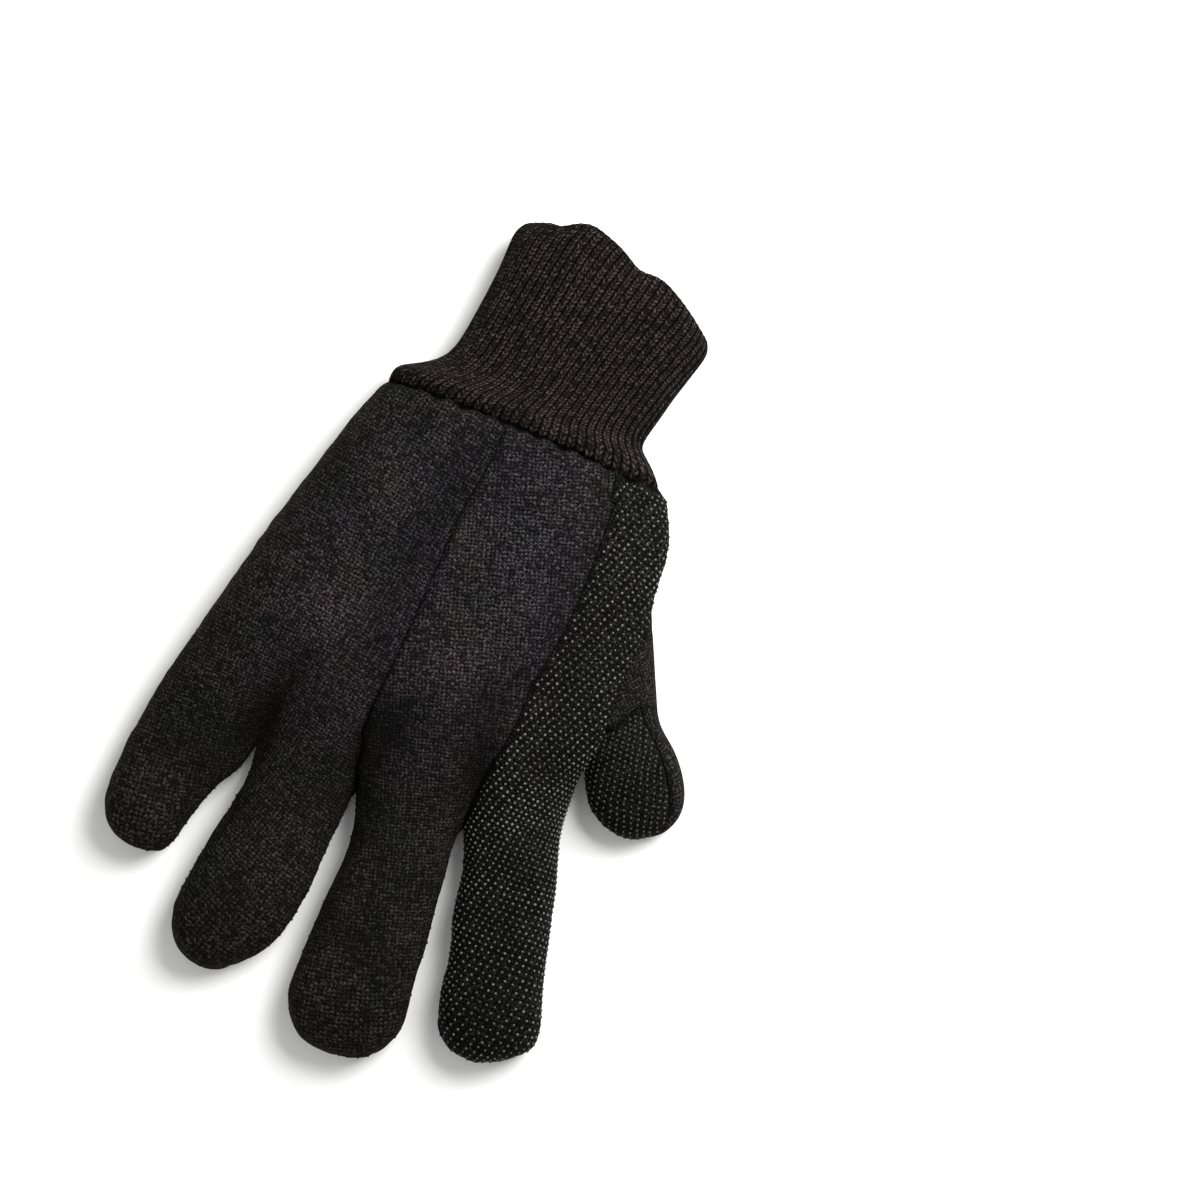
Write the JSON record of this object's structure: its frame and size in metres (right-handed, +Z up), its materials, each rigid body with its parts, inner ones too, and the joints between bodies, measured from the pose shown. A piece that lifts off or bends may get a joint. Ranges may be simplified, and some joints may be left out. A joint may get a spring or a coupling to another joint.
{
  "type": "dotted jersey work glove",
  "caption": "Right-hand cotton jersey work glove lying palm down: dotted palm, index finger and thumb, plain back, ribbed knit cuff, thumb tucked beside the palm.",
  "frame": {"origin": "on the floor, at the centre of the glove's bounding box seen from above", "axes": "+Y from the cuff to the fingertips, +X to the little finger, +Z up out of the back of the hand"},
  "size_m": [0.1634, 0.2588, 0.026],
  "materials": {
    "plain_jersey": "matte dark brown cotton jersey, lightly napped",
    "dotted_jersey": "matte dark brown cotton jersey with small raised black vinyl dots",
    "rib_knit": "matte dark brown one by one rib knit"
  },
  "bodies": {
    "root": {"palm_piece": "dotted_jersey", "back_middle": "plain_jersey", "back_ring_little": "plain_jersey", "thumb_front": "plain_jersey", "thumb_back": "dotted_jersey", "knit_cuff": "rib_knit"}
  },
  "joints": []
}
